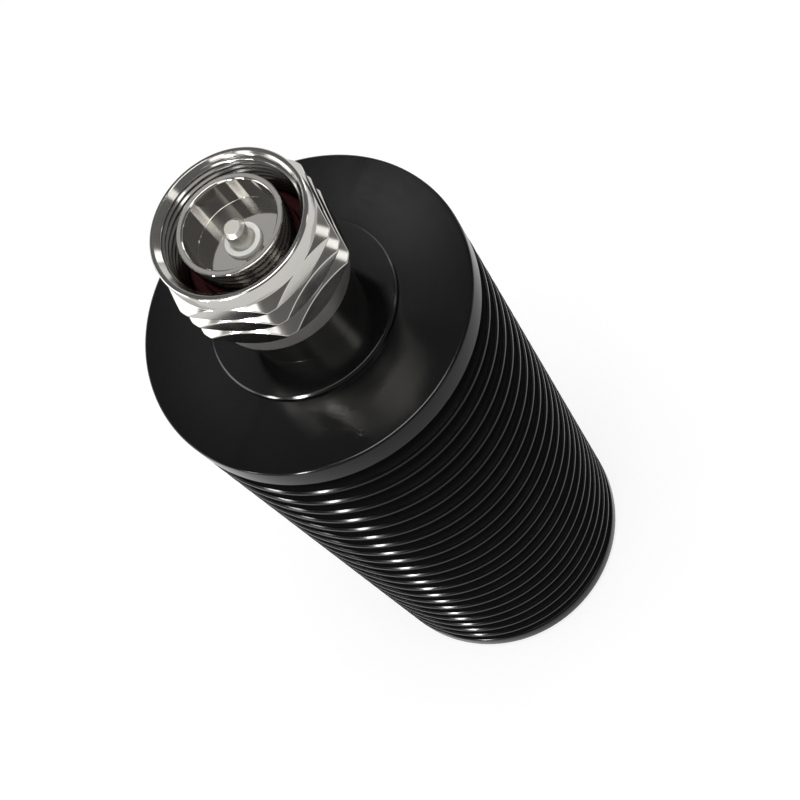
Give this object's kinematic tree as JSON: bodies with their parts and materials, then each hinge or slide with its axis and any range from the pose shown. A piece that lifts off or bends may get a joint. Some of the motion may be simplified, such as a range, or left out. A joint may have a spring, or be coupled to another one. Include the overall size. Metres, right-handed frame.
{
  "type": "rf dummy load",
  "caption": "Cylindrical finned black heat sink that ends a coaxial line, with a screw-on coaxial plug on its front face whose hexagon coupling nut turns freely.",
  "frame": {"origin": "middle of the flat rear face, on which the part stands", "axes": "+Z along the axis, from the rear face to the plug; +X through a corner of the coupling nut"},
  "size_m": [0.05, 0.05, 0.1309],
  "materials": {
    "black_anodised": "glossy black anodised",
    "bright_plated": "polished, plated",
    "satin_plated": "fine turned, plated",
    "silver_plated": "satin, plated",
    "steel": "plain",
    "dark_steel": "blackened",
    "brass": "turned",
    "plain_aluminium": "milled",
    "plated_copper": "plated",
    "black_rubber": "matte",
    "red_rubber": "matte",
    "ptfe": "matte white",
    "white_ceramic": "matte white ceramic",
    "film": "matte dark film"
  },
  "bodies": {
    "load": {"heat_sink": "black_anodised", "front_plug": "black_anodised", "plug_seal": "black_rubber", "plug_body": "bright_plated", "lock_washer": "steel", "ring_nut": "brass", "snap_ring": "brass", "mating_gasket": "red_rubber", "insulator_bead": "ptfe", "rear_bead": "ptfe", "centre_pin": "silver_plated", "carrier": "plain_aluminium", "termination_flange": "plated_copper", "substrate": "white_ceramic", "resistor_film": "film", "ceramic_lid": "white_ceramic", "lead_tab": "silver_plated", "flange_screws": "dark_steel", "flange_washers": "steel"},
    "nut": {"coupling_nut": "satin_plated"}
  },
  "joints": [
    {"name": "coupling_nut_spin", "type": "hinge", "parent": "load", "child": "nut", "pos_m": [0, 0, 0.1226], "axis": [0, 0, 1], "continuous": true}
  ]
}
